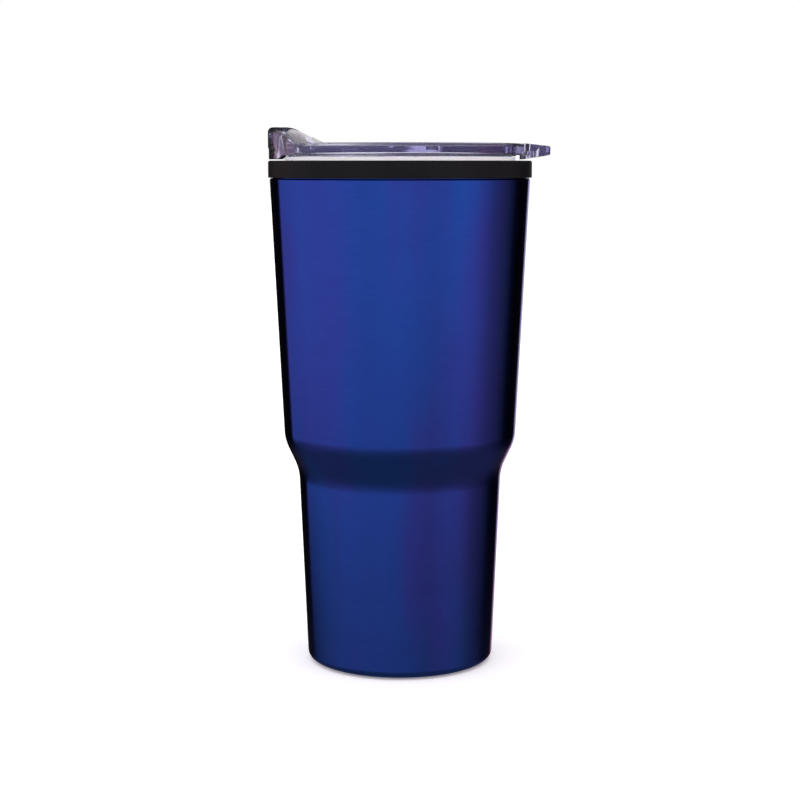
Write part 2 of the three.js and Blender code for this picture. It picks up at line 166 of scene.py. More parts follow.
# ---- Sizes of the slide closure ----
TRAVEL = 10
POST = (button_low.x + button_high.x) / 2  # the snap legs stand about here
PLATE = 0.8
RIDGES = 4
RIDGE_PITCH = 2.8
RIDGE_HALF = (0.6, 5)
LEG_HALF = 1.8
RECESS = 0.6  # depth of the shutter's recess for its seal

# ---- Modelling helpers ----


def deselect_everything():
    if bpy.context.object and bpy.context.object.mode != "OBJECT":
        bpy.ops.object.mode_set(mode="OBJECT")
    bpy.ops.object.select_all(action="DESELECT")


def only(piece):
    deselect_everything()
    piece.select_set(True)
    bpy.context.view_layer.objects.active = piece
    return piece


def settle(piece):
    """Puts the place, turn and size of an object into its mesh."""
    only(piece)
    bpy.ops.object.transform_apply(location=True, rotation=True, scale=True)
    return piece


def edit(piece):
    only(piece)
    bpy.ops.object.mode_set(mode="EDIT")
    bpy.ops.mesh.select_all(action="DESELECT")


def pick(piece, kind, wanted):
    """Selects the faces, edges or vertices of a piece in edit mode that wanted() says yes to."""
    bpy.ops.mesh.select_mode(type={"faces": "FACE", "edges": "EDGE", "verts": "VERT"}[kind])
    bpy.ops.mesh.select_all(action="DESELECT")
    shape = bmesh.from_edit_mesh(piece.data)
    for part in getattr(shape, kind):
        if wanted(part):
            part.select_set(True)
    shape.select_flush_mode()
    bmesh.update_edit_mesh(piece.data)


def modify(piece, kind, **settings):
    only(piece)
    modifier = piece.modifiers.new(kind.title(), kind)
    for name, value in settings.items():
        setattr(modifier, name, value)
    bpy.ops.object.modifier_apply(modifier=modifier.name)


def join_or_cut(piece, tool, operation):
    modify(piece, "BOOLEAN", operation=operation, object=tool, solver="EXACT")
    only(tool)
    bpy.ops.object.delete()


def rounded(corners, sagitta=0.01):
    """A line through corners (across, up, rounding), with each corner rounded by its own radius."""
    points = []
    for k, corner in enumerate(corners):
        place = Vector(corner[:2])
        radius = corner[2] if len(corner) > 2 else 0
        if not radius:
            points.append(place)
            continue
        back = (Vector(corners[k - 1][:2]) - place).normalized()
        ahead = (Vector(corners[(k + 1) % len(corners)][:2]) - place).normalized()
        half = back.angle(ahead) / 2
        centre = place + (back + ahead).normalized() * radius / math.sin(half)
        start = place + back * radius / math.tan(half) - centre
        end = place + ahead * radius / math.tan(half) - centre
        sweep = start.angle_signed(end)
        steps = max(3, math.ceil(abs(sweep) / (2 * math.acos(1 - min(sagitta / radius, 0.5)))))
        for step in range(steps + 1):
            turn_by = -sweep * step / steps
            across = start.x * math.cos(turn_by) - start.y * math.sin(turn_by)
            up = start.x * math.sin(turn_by) + start.y * math.cos(turn_by)
            points.append(centre + Vector((across, up)))
    return points


def turn(name, section, closed=False, around=AROUND):
    """Turns a section of (radius, height) about the axis, one ring after the other.

    An end that lies on the axis becomes a pole, and a closed section is joined to its start.
    """
    rings = [Vector(point) for point in section]
    first_pole = rings.pop(0) if rings[0].x < TINY else None
    last_pole = rings.pop() if rings[-1].x < TINY else None
    deselect_everything()
    bpy.ops.mesh.primitive_circle_add(
        vertices=around, radius=rings[0].x, location=(0, 0, rings[0].y), fill_type="NOTHING"
    )
    piece = settle(bpy.context.object)
    piece.name = name
    edit(piece)
    bpy.ops.mesh.select_all(action="SELECT")
    for before, after in zip(rings, rings[1:] + ([rings[0]] if closed else [])):
        bpy.ops.mesh.extrude_region_move(TRANSFORM_OT_translate={"value": (0, 0, after.y - before.y)})
        bpy.ops.transform.resize(value=(after.x / before.x,) * 2 + (1,), center_override=(0, 0, after.y))
    for pole, ring in ((last_pole, rings[-1]), (first_pole, rings[0])):
        if not pole:
            continue

        def on_ring(point):
            return abs(point.co.z - ring.y) < TINY and abs(point.co.xy.length - ring.x) < TINY

        pick(piece, "verts", on_ring)
        bpy.ops.mesh.extrude_region_move(TRANSFORM_OT_translate={"value": (0, 0, pole.y - ring.y)})
        bpy.ops.mesh.merge(type="CENTER")
    bpy.ops.mesh.select_all(action="SELECT")
    bpy.ops.mesh.remove_doubles(threshold=1e-4)
    bpy.ops.mesh.normals_make_consistent(inside=False)
    deselect_everything()
    return piece


def block(name, low, high, corner=0, edge=0, segments=4):
    """A box with round upright corners and softened edges."""
    deselect_everything()
    middle = [(a + b) / 2 for a, b in zip(low, high)]
    bpy.ops.mesh.primitive_cube_add(size=1, location=middle)
    piece = bpy.context.object
    piece.name = name
    piece.scale = [b - a for a, b in zip(low, high)]
    settle(piece)
    edit(piece)
    if corner:
        pick(piece, "edges", lambda e: abs(e.verts[0].co.z - e.verts[1].co.z) > TINY)
        bpy.ops.mesh.bevel(offset=corner, segments=2 * segments, affect="EDGES")
    if edge:
        pick(piece, "edges", lambda e: e.is_manifold and e.calc_face_angle() > math.radians(50))
        bpy.ops.mesh.bevel(offset=edge, segments=segments, affect="EDGES")
    deselect_everything()
    return piece


def wrap_round(piece):
    """A UV map that runs up the piece in U and round its axis in V, for brushing and grain."""
    map_layer = piece.data.uv_layers.new(name="turning")
    points = piece.data.vertices
    for face in piece.data.polygons:
        middle = math.atan2(face.center.y, face.center.x)
        for loop in face.loop_indices:
            place = points[piece.data.loops[loop].vertex_index].co
            off = math.atan2(place.y, place.x) - middle
            off = (off + math.pi) % (2 * math.pi) - math.pi
            map_layer.data[loop].uv = (place.z / MM / MAP_HEIGHT, (middle + off) / (2 * math.pi) + 0.5)


def finish_piece(piece, body, material, stands_for, crease=30):
    """Brings a modelled piece to metres, smooths it, and gives it its body and its finish."""
    only(piece)
    piece.scale = (MM, MM, MM)
    settle(piece)
    bpy.ops.object.shade_smooth_by_angle(angle=math.radians(crease))
    wrap_round(piece)
    piece.data.materials.clear()
    piece.data.materials.append(material)
    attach(piece, body)
    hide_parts(stands_for)


# ---- Node helpers ----


def new_material(name):
    material = bpy.data.materials.new(name)
    material.use_nodes = True
    nodes = material.node_tree.nodes
    shader = next(node for node in nodes if node.type == "BSDF_PRINCIPLED")
    return material, material.node_tree, shader


def add(tree, kind, values=(), **settings):
    """A node with settings, and with values or links for its named inputs."""
    node = tree.nodes.new(kind)
    for name, value in settings.items():
        setattr(node, name, value)
    for name, value in dict(values).items():
        put(tree, node.inputs[name], value)
    return node


def put(tree, socket, value):
    if isinstance(value, bpy.types.NodeSocket):
        tree.links.new(value, socket)
    else:
        socket.default_value = value


def maths(tree, operation, first, second=0.0):
    node = add(tree, "ShaderNodeMath", operation=operation)
    put(tree, node.inputs[0], first)
    put(tree, node.inputs[1], second)
    return node.outputs[0]


def ramp(tree, factor, stops, interpolation="LINEAR"):
    node = tree.nodes.new("ShaderNodeValToRGB")
    node.color_ramp.interpolation = interpolation
    elements = node.color_ramp.elements
    while len(elements) < len(stops):
        elements.new(0.5)
    for element, (place, _) in zip(elements, stops):
        element.position = place
    for element, (_, colour) in zip(elements, stops):
        element.color = (*colour, 1) if isinstance(colour, tuple) else (colour, colour, colour, 1)
    put(tree, node.inputs[0], factor)
    return node.outputs[0]


def blend_colours(tree, factor, first, second, blend="MIX"):
    node = add(tree, "ShaderNodeMix", data_type="RGBA", blend_type=blend)
    put(tree, node.inputs[0], factor)
    for socket, colour in ((node.inputs[6], first), (node.inputs[7], second)):
        put(tree, socket, (*colour, 1) if isinstance(colour, tuple) else colour)
    return node.outputs[2]


def bump(tree, shader, height, strength, depth):
    """Raises the surface by a pattern, depth in metres."""
    settings = {"Height": height, "Strength": strength, "Distance": depth}
    raised = add(tree, "ShaderNodeBump", settings)
    put(tree, shader.inputs["Normal"], raised.outputs[0])


# ---- Studio ----


CAMERA_PLACE = (0, -0.700, 0.1949)
CAMERA_TILT = 7.49  # degrees below level
FLOOR_RADIUS = 9


def camera():
    turned = (math.radians(90 - CAMERA_TILT), 0, 0)
    bpy.ops.object.camera_add(location=CAMERA_PLACE, rotation=turned)
    view = bpy.context.object
    view.data.lens = 80.95
    view.data.sensor_width = 36
    view.data.clip_start = 0.01
    bpy.context.scene.camera = view


def floor():
    bpy.ops.mesh.primitive_circle_add(vertices=128, radius=FLOOR_RADIUS, fill_type="NGON")
    ground = bpy.context.object
    ground.name = "studio_floor"
    ground.visible_glossy = False
    ground.visible_transmission = False
    material, _, shader = new_material("pale studio floor")
    shader.inputs["Base Color"].default_value = (0.93, 0.93, 0.93, 1)
    shader.inputs["Roughness"].default_value = 0.9
    shader.inputs["Specular IOR Level"].default_value = 0
    shader.inputs["Emission Color"].default_value = (1, 1, 1, 1)
    shader.inputs["Emission Strength"].default_value = 0.22
    ground.data.materials.append(material)


def card(level):
    """A card of this brightness: white when bright, warm at half light, and cool when dim."""
    warm = min((1 - min(level, 1)) / 0.45, 1)
    cool = min(max((0.45 - level) / 0.3, 0), 1)
    return (level * (1 + 0.85 * warm), level * (1 - 0.12 * warm + 0.45 * cool), level)


def studio():
    """White sweeps before and behind the cup, and black flags at its flanks.

    Azimuth is 0 towards the camera and grows to the right. The brightness round the cup is a
    ramp that falls off below the horizon. The clear lid sees a ramp of its own through itself.
    """
    world = bpy.data.worlds.new("studio")
    bpy.context.scene.world = world
    world.use_nodes = True
    tree = world.node_tree
    tree.nodes.clear()
    direction = add(tree, "ShaderNodeTexCoord").outputs["Generated"]
    parts = add(tree, "ShaderNodeSeparateXYZ", {"Vector": direction}).outputs
    azimuth = maths(tree, "ARCTAN2", parts["X"], maths(tree, "MULTIPLY", parts["Y"], -1.0))
    round_the_cup = maths(tree, "MULTIPLY_ADD", azimuth, 1 / (2 * math.pi))
    round_the_cup.node.inputs[2].default_value = 0.5
    height = maths(tree, "MULTIPLY_ADD", maths(tree, "ARCSINE", parts["Z"]), 1 / math.pi)
    height.node.inputs[2].default_value = 0.5

    def cards(levels, colour=card):
        """Cards round the cup, as pairs of azimuth in degrees and brightness."""
        stops = [(angle / 360 + 0.5, colour(level)) for angle, level in levels]
        return ramp(tree, round_the_cup, stops)

    def between(low, high):
        """0 at one elevation and 1 at the other, in degrees."""
        places = sorted([(low / 180 + 0.5, 0.0), (high / 180 + 0.5, 1.0)])
        return ramp(tree, height, places, "EASE")

    level = cards(
        [
            (-135.5, 0.006),
            (-133, 0.66),
            (-116, 0.82),
            (-95, 0.97),
            (-60, 1.0),
            (-30, 0.84),
            (0, 0.95),
            (30, 0.83),
            (58, 0.95),
            (70, 0.86),
            (80, 0.66),
            (91, 0.40),
            (110, 0.18),
            (124, 0.025),
            (132, 0.006),
            (157, 0.006),
            (159, 0.9),
            (180, 1.0),
        ]
    )
    lowered = cards(
        [
            (-136, 0.006),
            (-128, 0.12),
            (-100, 0.33),
            (-66, 0.52),
            (-20, 0.58),
            (12, 0.46),
            (33, 0.34),
            (58, 0.42),
            (75, 0.36),
            (91, 0.20),
            (112, 0.08),
            (126, 0.010),
            (157, 0.006),
            (159, 0.5),
            (180, 0.6),
        ]
    )
    around = blend_colours(tree, between(-9, -18), level, lowered)
    around = blend_colours(tree, between(-13, -36), around, card(0.17))
    around = blend_colours(tree, between(25, 50), around, (1.55, 1.55, 1.55))

    def violet(brightness):
        """What the clear lid lets through: the dimmer, the more violet."""
        dim = 1 - min(brightness, 1)
        return (brightness + 0.03, brightness + 0.018, brightness + 0.10 * dim)

    through_lid = cards(
        [
            (-179, 0.03),
            (-177.5, 1.0),
            (-170, 1.0),
            (-168, 0.02),
            (-128, 0.02),
            (-118, 0.75),
            (-60, 0.95),
            (0, 0.75),
            (60, 0.85),
            (85, 0.4),
            (105, 0.08),
            (179, 0.03),
        ],
        violet,
    )
    through_lid = blend_colours(tree, between(30, 55), through_lid, (1.3, 1.3, 1.3))
    through_lid = blend_colours(tree, between(-22, -38), through_lid, (0.95, 0.95, 0.97))
    seen = add(tree, "ShaderNodeLightPath")
    passed = maths(tree, "GREATER_THAN", seen.outputs["Transmission Depth"], 0.5)
    around = blend_colours(tree, passed, around, through_lid)
    around = blend_colours(tree, seen.outputs["Is Camera Ray"], around, (1, 1, 1))
    lights = add(tree, "ShaderNodeBackground", {"Color": around, "Strength": 1.0})
    output = add(tree, "ShaderNodeOutputWorld")
    tree.links.new(lights.outputs[0], output.inputs["Surface"])
    bpy.context.scene.view_settings.view_transform = "Standard"


# ---- Finishes ----


def brushing_group():
    """Fine lines that run round a turned piece, from its own turning map."""
    group = bpy.data.node_groups.new("turned brushing", "ShaderNodeTree")
    for name, value in (("Line Count", 900.0), ("Line Length", 7.0)):
        socket = group.interface.new_socket(name, in_out="INPUT", socket_type="NodeSocketFloat")
        socket.default_value = value
    group.interface.new_socket("Lines", in_out="OUTPUT", socket_type="NodeSocketFloat")
    group.interface.new_socket("Streaks", in_out="OUTPUT", socket_type="NodeSocketFloat")
    came_in = add(group, "NodeGroupInput")
    went_out = add(group, "NodeGroupOutput")
    turning = add(group, "ShaderNodeUVMap", uv_map="turning").outputs["UV"]
    parts = add(group, "ShaderNodeSeparateXYZ", {"Vector": turning}).outputs
    angle = maths(group, "MULTIPLY", parts["Y"], 2 * math.pi)

    def round_noise(length, count, detail):
        """Noise on a circle, so that it has no seam."""
        east = maths(group, "MULTIPLY", maths(group, "COSINE", angle), length)
        north = maths(group, "MULTIPLY", maths(group, "SINE", angle), length)
        up = maths(group, "MULTIPLY", parts["X"], count)
        place = add(group, "ShaderNodeCombineXYZ", {"X": east, "Y": north, "Z": up}).outputs[0]
        noise = add(group, "ShaderNodeTexNoise", {"Vector": place, "Scale": 1.0, "Detail": detail})
        return noise.outputs["Fac"]

    lines = round_noise(came_in.outputs["Line Length"], came_in.outputs["Line Count"], 3.0)
    streaks = round_noise(1.6, 34.0, 2.0)
    group.links.new(lines, went_out.inputs["Lines"])
    group.links.new(streaks, went_out.inputs["Streaks"])
    return group


def grain_group():
    """A fine moulded grain and a slow mottling, from Object coordinates."""
    group = bpy.data.node_groups.new("moulded grain", "ShaderNodeTree")
    socket = group.interface.new_socket("Grain Size", in_out="INPUT", socket_type="NodeSocketFloat")
    socket.default_value = 2500.0
    group.interface.new_socket("Grain", in_out="OUTPUT", socket_type="NodeSocketFloat")
    group.interface.new_socket("Mottling", in_out="OUTPUT", socket_type="NodeSocketFloat")
    came_in = add(group, "NodeGroupInput")
    went_out = add(group, "NodeGroupOutput")
    place = add(group, "ShaderNodeTexCoord").outputs["Object"]
    size = came_in.outputs["Grain Size"]
    fine = add(group, "ShaderNodeTexNoise", {"Vector": place, "Scale": size, "Detail": 2.0})
    slow = add(group, "ShaderNodeTexNoise", {"Vector": place, "Scale": 60.0, "Detail": 3.0})
    group.links.new(fine.outputs["Fac"], went_out.inputs["Grain"])
    group.links.new(slow.outputs["Fac"], went_out.inputs["Mottling"])
    return group


brushing = brushing_group()
grain = grain_group()


def blue_lacquered_steel():
    """Steel brushed round, under a translucent lacquer that turns from blue to violet in patches."""
    material, tree, shader = new_material("blue lacquered steel")
    lines = add(tree, "ShaderNodeGroup", node_tree=brushing)
    place = add(tree, "ShaderNodeTexCoord").outputs["Object"]
    drawn = add(tree, "ShaderNodeMapping", {"Vector": place, "Scale": (38, 38, 7)}).outputs[0]
    patches = add(tree, "ShaderNodeTexNoise", {"Vector": drawn, "Scale": 1.0, "Detail": 2.0})
    violet = ramp(tree, patches.outputs["Fac"], [(0.42, 0.0), (0.64, 1.0)], "EASE")
    colour = blend_colours(tree, violet, (0.0155, 0.068, 0.375), (0.027, 0.051, 0.335))
    shade = ramp(tree, lines.outputs["Lines"], [(0.3, 0.92), (0.7, 1.08)])
    toned = blend_colours(tree, 1.0, colour, shade, "MULTIPLY")
    put(tree, shader.inputs["Base Color"], toned)
    shader.inputs["Metallic"].default_value = 1.0
    shader.inputs["Specular Tint"].default_value = (0.55, 0.58, 0.82, 1)
    roughness = ramp(tree, lines.outputs["Streaks"], [(0.3, 0.145), (0.7, 0.175)])
    put(tree, shader.inputs["Roughness"], roughness)
    shader.inputs["Anisotropic"].default_value = 0.93
    up = add(tree, "ShaderNodeTangent", direction_type="UV_MAP", uv_map="turning")
    put(tree, shader.inputs["Tangent"], up.outputs[0])
    bump(tree, shader, lines.outputs["Lines"], 0.05, 0.0001)
    return material


def bare_steel():
    """Uncoated steel with the rings that a lathe leaves."""
    material, tree, shader = new_material("bare brushed steel")
    lines = add(tree, "ShaderNodeGroup", node_tree=brushing)
    place = add(tree, "ShaderNodeTexCoord").outputs["Object"]
    parts = add(tree, "ShaderNodeSeparateXYZ", {"Vector": place}).outputs
    flat = add(tree, "ShaderNodeCombineXYZ", {"X": parts["X"], "Y": parts["Y"]}).outputs[0]
    radius = add(tree, "ShaderNodeVectorMath", {0: flat}, operation="LENGTH").outputs["Value"]
    settings = {"W": radius, "Scale": 2600.0, "Detail": 2.0}
    rings = add(tree, "ShaderNodeTexNoise", settings, noise_dimensions="1D").outputs["Fac"]
    shade = ramp(tree, rings, [(0.3, (0.40, 0.405, 0.42)), (0.7, (0.55, 0.555, 0.57))])
    put(tree, shader.inputs["Base Color"], shade)
    shader.inputs["Metallic"].default_value = 1.0
    roughness = ramp(tree, lines.outputs["Streaks"], [(0.3, 0.3), (0.7, 0.42)])
    put(tree, shader.inputs["Roughness"], roughness)
    bump(tree, shader, rings, 0.1, 0.0001)
    return material


def moulded(name, darker, lighter, roughness, grain_size, strength, depth):
    """A moulded finish: two tones in slow mottling, and a fine grain in roughness and relief."""
    material, tree, shader = new_material(name)
    pattern = add(tree, "ShaderNodeGroup", node_tree=grain)
    put(tree, pattern.inputs["Grain Size"], grain_size)
    tone = ramp(tree, pattern.outputs["Mottling"], [(0.35, darker), (0.65, lighter)])
    put(tree, shader.inputs["Base Color"], tone)
    smooth, rough = roughness
    spread = ramp(tree, pattern.outputs["Grain"], [(0.3, smooth), (0.7, rough)])
    put(tree, shader.inputs["Roughness"], spread)
    bump(tree, shader, pattern.outputs["Grain"], strength, depth)
    return material, tree, shader


def black_liner_plastic():
    darker = (0.0058, 0.0064, 0.0080)
    lighter = (0.0082, 0.0088, 0.0104)
    settings = ((0.44, 0.56), 2600.0, 0.25, 0.00006)
    material, _, shader = moulded("black liner plastic", darker, lighter, *settings)
    shader.inputs["Specular IOR Level"].default_value = 0.05
    return material


def black_foot_rubber():
    darker = (0.010, 0.010, 0.0105)
    lighter = (0.016, 0.016, 0.0165)
    settings = ((0.72, 0.84), 1500.0, 0.25, 0.0001)
    material, _, shader = moulded("black foot rubber", darker, lighter, *settings)
    shader.inputs["Specular IOR Level"].default_value = 0.3
    return material


def clear_lid_plastic():
    darker = (0.85, 0.845, 0.985)
    lighter = (0.88, 0.875, 0.995)
    settings = ((0.01, 0.035), 160.0, 0.05, 0.0002)
    material, tree, shader = moulded("clear lid plastic", darker, lighter, *settings)
    shader.inputs["IOR"].default_value = 1.5
    shader.inputs["Specular Tint"].default_value = (0.72, 0.78, 1.0, 1)
    shader.inputs["Transmission Weight"].default_value = 0.985
    tint = {"Color": (0.40, 0.375, 0.70, 1), "Density": 19.0}
    tinted = add(tree, "ShaderNodeVolumeAbsorption", tint)
    output = next(node for node in tree.nodes if node.type == "OUTPUT_MATERIAL")
    tree.links.new(tinted.outputs[0], output.inputs["Volume"])
    return material


def soft_silicone_with_painted_glow():
    """Pale silicone, with a little emission painted in as a glow, so that the rings read bright where they
    sit in shade.
    """
    darker = (0.90, 0.90, 0.92)
    lighter = (0.95, 0.95, 0.96)
    settings = ((0.34, 0.46), 2500.0, 0.1, 0.00005)
    material, _, shader = moulded("clear silicone", darker, lighter, *settings)
    shader.inputs["IOR"].default_value = 1.41
    shader.inputs["Transmission Weight"].default_value = 0.12
    # Painted light: this emission makes the silicone glow though it is no lamp, lifting the rings out of
    # their shade.
    shader.inputs["Emission Color"].default_value = (1, 1, 1, 1)
    shader.inputs["Emission Strength"].default_value = 0.25
    shader.inputs["Subsurface Weight"].default_value = 0.2
    shader.inputs["Subsurface Scale"].default_value = 0.002
    return material


# ---- Cup pieces ----


def wall(inset, bottom, bottom_round, top_radius, top):
    """Corners of the stepped wall from the foot up, moved in by inset."""
    return [
        (FOOT_RADIUS - inset, bottom, bottom_round),
        (GRIP[0] - inset, GRIP[1], GRIP_ROUND),
        (SHOULDER[0] - inset, SHOULDER[1], SHOULDER_ROUND),
        (top_radius, top),
    ]


def steel_shell(material):
    """The drawn steel wall, turned in at the foot and necked in under the band."""
    outside = [
        (FOOT_INNER, SHELL_FOOT),
        *wall(0, SHELL_FOOT, FOOT_ROUND, SHELL_TOP, LEDGE - LEDGE_CHAMFER),
        (SHELL_TOP - LEDGE_CHAMFER, LEDGE),
        (NECK, LEDGE),
        (NECK, shell_high.z),
    ]
    foot = SHELL_FOOT + SHELL_WALL
    ledge = LEDGE - SHELL_WALL
    inside = [
        (FOOT_INNER, foot),
        *wall(SHELL_WALL, foot, FOOT_ROUND - SHELL_WALL, SHELL_TOP - SHELL_WALL, ledge - LEDGE_CHAMFER),
        (NECK - SHELL_WALL, ledge),
        (NECK - SHELL_WALL, shell_high.z),
    ]
    section = rounded(outside, 0.004) + rounded(inside, 0.02)[::-1]
    shell = turn("steel_shell", section, closed=True)
    finish_piece(shell, "cup", material, "outer_shell", 25)


def liner_and_band(material):
    """The black liner: a bored cup whose top turns out over the steel as the rim band."""
    floor_top = liner_low.z + LINER_FLOOR
    outer = MOUTH + LINER_WALL
    bore = [(0, floor_top), *wall(BORE_INSET, floor_top, FLOOR_ROUND, MOUTH, RIM_TOP)]
    bore[-1] = (MOUTH, RIM_TOP, EDGE_ROUND)
    band = [
        (RIM_RADIUS, RIM_TOP, EDGE_ROUND),
        (RIM_RADIUS, BAND_BOTTOM, BAND_LOWER_ROUND),
        (NECK + FIT, BAND_BOTTOM),
        (NECK + FIT, CHANNEL_ROOF),
        (outer, CHANNEL_ROOF),
    ]
    outside = wall(LINER_INSET, liner_low.z, FLOOR_ROUND + LINER_WALL, outer, CHANNEL_ROOF)
    section = rounded([*bore, *band, *outside[::-1][1:], (0, liner_low.z)])
    liner = turn("liner_with_rim_band", section)
    finish_piece(liner, "cup", material, "inner_liner", 28)


def lip_ring(material):
    """The silicone ring that is pinched between the steel's neck and the liner."""
    inner = MOUTH + LINER_WALL + FIT
    corners = [
        (inner, lip_low.z, SOFT_ROUND),
        (NECK, lip_low.z, SOFT_ROUND),
        (NECK, lip_high.z, SOFT_ROUND),
        (inner, lip_high.z, SOFT_ROUND),
    ]
    ring = turn("lip_ring", rounded(corners), closed=True)
    finish_piece(ring, "cup", material, "lip_seal")


def base_plate(material):
    """The bare disc welded over the foot, with its middle pressed up."""
    rise = disc_high.x - DISC_LAND
    middle = disc_high.z - SHELL_WALL
    land = disc_low.z + SHELL_WALL
    corners = [
        (0, middle),
        (rise - DISC_BEND, middle, 0.5),
        (rise, disc_low.z, 0.5),
        (disc_high.x, disc_low.z, 0.1),
        (disc_high.x, land, 0.1),
        (rise + DISC_BEND, land, 0.5),
        (rise, disc_high.z, 0.5),
        (0, disc_high.z),
    ]
    plate = turn("base_plate", rounded(corners))
    finish_piece(plate, "cup", material, "base_disc")


def rubber_foot(material):
    """The foot pad, with a dished middle and moulded rings in its underside."""
    radius = pad_high.x
    dish_edge = PAD_DISH + 2 * GROOVE_SLOPE
    corners = [(0, PAD_GROOVE), (PAD_DISH, PAD_GROOVE, 0.3), (dish_edge, 0, 0.3)]
    for ring in PAD_RINGS:
        far = ring + GROOVE_WIDTH
        corners += [
            (ring, 0, 0.15),
            (ring + GROOVE_SLOPE, PAD_GROOVE, 0.15),
            (far - GROOVE_SLOPE, PAD_GROOVE, 0.15),
            (far, 0, 0.15),
        ]
    corners += [(radius, 0, 0.4), (radius, pad_high.z, 0.2), (0, pad_high.z)]
    pad = turn("rubber_foot", rounded(corners), around=160)
    finish_piece(pad, "cup", material, "foot_pad")


# ---- Lid pieces ----


def blend(low, high, share):
    return low + (high - low) * share


def smooth_step(low, high, value):
    part = min(max((value - low) / (high - low), 0), 1)
    return part * part * (3 - 2 * part)


def soft_max(first, second, softness):
    """The larger of two sizes, with a round fillet where they cross."""
    gap = max(softness - abs(first - second), 0) / softness
    return max(first, second) + softness * gap * gap / 4


def hill(x, y):
    """Height of the spout's top: level at the front, sloping down to the deck, domed across."""
    slope = SPOUT_TOP - (x - SLOPE_START) * math.tan(SPOUT_SLOPE)
    return -soft_max(-SPOUT_TOP, -slope, CREST_BLEND) - y * y / (2 * SPOUT_DOME)


def top_at(ahead, radius):
    """Height of the lid's top at a radius, in a direction from the axis."""
    return soft_max(DECK_TOP, hill(ahead.x * radius, ahead.y * radius), ROOT_BLEND)


def lid_edge(ahead):
    """Radius of the lid's outline: a circle with the spout's lobe bulging from its front."""
    along = LOBE_REACH - LOBE_RADIUS
    across = along * ahead.y
    lobe = math.sqrt(LOBE_RADIUS**2 - across**2) - along * ahead.x
    return soft_max(LID_RADIUS, lobe, LOBE_BLEND)


def bore_at(height):
    return MOUTH - (RIM_TOP - height) * BORE_SLOPE


def plug_at(height):
    return bore_at(height) - PLUG_CLEARANCE


GROOVE_FLOOR = plug_at(GROOVE[0]) - GROOVE_DEPTH


def lid_body(material):
    """The lid: one turned section moulded into the spout, with the tab, the cuts and the ribs."""
    lid = turn("clear_lid", lid_section())
    for point in lid.data.vertices:
        point.co = lid_shape(point.co)
    join_or_cut(lid, lift_tab(), "UNION")
    for tool in lid_cuts():
        join_or_cut(lid, tool, "DIFFERENCE")
    for rib in guide_ribs():
        join_or_cut(lid, rib, "UNION")
    finish_piece(lid, "lid", material, "lid_body", 32)


def lid_section():
    """From the middle of the deck, over the rim, under the flange, down the plug and back."""
    deck = [(0, DECK_TOP)] + [(radius, DECK_TOP) for radius in range(4, 22, 4)]
    deck += [(20 + 0.9 * k, DECK_TOP) for k in range(1, 28)]
    rim = rounded(
        [
            (FLANGE_INNER - 0.4, DECK_TOP),
            (RIM_INNER, DECK_TOP, 0.45),
            (RIM_INNER, LID_TOP, 0.35),
            (LID_RADIUS, LID_TOP, EDGE_ROUND),
            (LID_RADIUS, EDGE_STEP + STEP_HALF),
            (LID_RADIUS, EDGE_STEP - STEP_HALF),
            (LID_RADIUS, LID_BOTTOM, 0.3),
            (LID_RADIUS - FLANGE_BEVEL, LID_BOTTOM),
        ]
    )
    flange = [(SKIRT_RING, LID_BOTTOM)]
    flange += [(ring, LID_BOTTOM) for ring in reversed(ROOF_RINGS)]
    flange += [(FLANGE_INNER + 0.2, LID_BOTTOM)]
    plug = rounded(
        [
            (FLANGE_INNER, LID_BOTTOM),
            (plug_at(LID_BOTTOM), LID_BOTTOM, 0.25),
            (plug_at(GROOVE[1]), GROOVE[1], 0.1),
            (GROOVE_FLOOR, GROOVE[1]),
            (GROOVE_FLOOR, GROOVE[0]),
            (plug_at(GROOVE[0]), GROOVE[0], 0.1),
            (plug_at(PLUG_BOTTOM), PLUG_BOTTOM, 0.5),
            (PLUG_INNER, PLUG_BOTTOM, 0.5),
            (PLUG_INNER, DECK_BOTTOM, 0.5),
            (PLUG_INNER - 4, DECK_BOTTOM),
        ]
    )
    under = [(radius, DECK_BOTTOM) for radius in (34, 28, 20, 10, 0)]
    return deck + rim + flange + plug + under


def lid_shape(place):
    """Moves a point of the turned lid to where it lies on the moulded one."""
    radius = place.xy.length
    height = place.z
    if radius < NEAR:
        return place
    ahead = place.xy / radius
    if radius > FLANGE_INNER - NEAR:
        edge = lid_edge(ahead)
        bulge = smooth_step(0, BULGE_BLEND, edge - LID_RADIUS)
        if height > UNDERSIDE:
            radius, height = rim_point(ahead, radius, height, edge, bulge)
        else:
            radius, height = flange_point(ahead, radius, height, edge, bulge)
    elif height > DECK_TOP - NEAR:
        height = top_at(ahead, radius)
    return Vector((ahead.x * radius, ahead.y * radius, height))


def rim_point(ahead, radius, height, edge, bulge):
    """Where a point of the rim goes: its side, its rounded edge or its top."""
    shoulder = LID_TOP - EDGE_ROUND
    if height < shoulder - NEAR and radius > LID_RADIUS - NEAR:
        if height <= EDGE_STEP:
            return edge - SET_BACK * bulge, height
        crest = max(top_at(ahead, edge) - CREST_ROUND, height)
        share = (height - EDGE_STEP) / (shoulder - EDGE_STEP)
        return edge, blend(EDGE_STEP, crest, share) if bulge else height
    if height >= shoulder - NEAR and radius > LID_RADIUS - EDGE_ROUND - NEAR:
        risen = max(top_at(ahead, edge) - LID_TOP, 0)
        corner = blend(EDGE_ROUND, CREST_ROUND, smooth_step(0, CREST_GROWTH, risen))
        radius = edge - (LID_RADIUS - radius) * corner / EDGE_ROUND
        level = max(LID_TOP, top_at(ahead, min(radius, edge - corner)))
        return radius, level - (LID_TOP - height) * corner / EDGE_ROUND
    if height > DECK_TOP - NEAR:
        share = (radius - FLANGE_INNER) / (LID_RADIUS - FLANGE_INNER)
        radius = blend(FLANGE_INNER, edge, share)
        # On the spout a trace of the rim stays, so that no faces fall together.
        level = top_at(ahead, radius) + 0.02 * (height - DECK_TOP)
        return radius, max(height, level)
    return radius, height


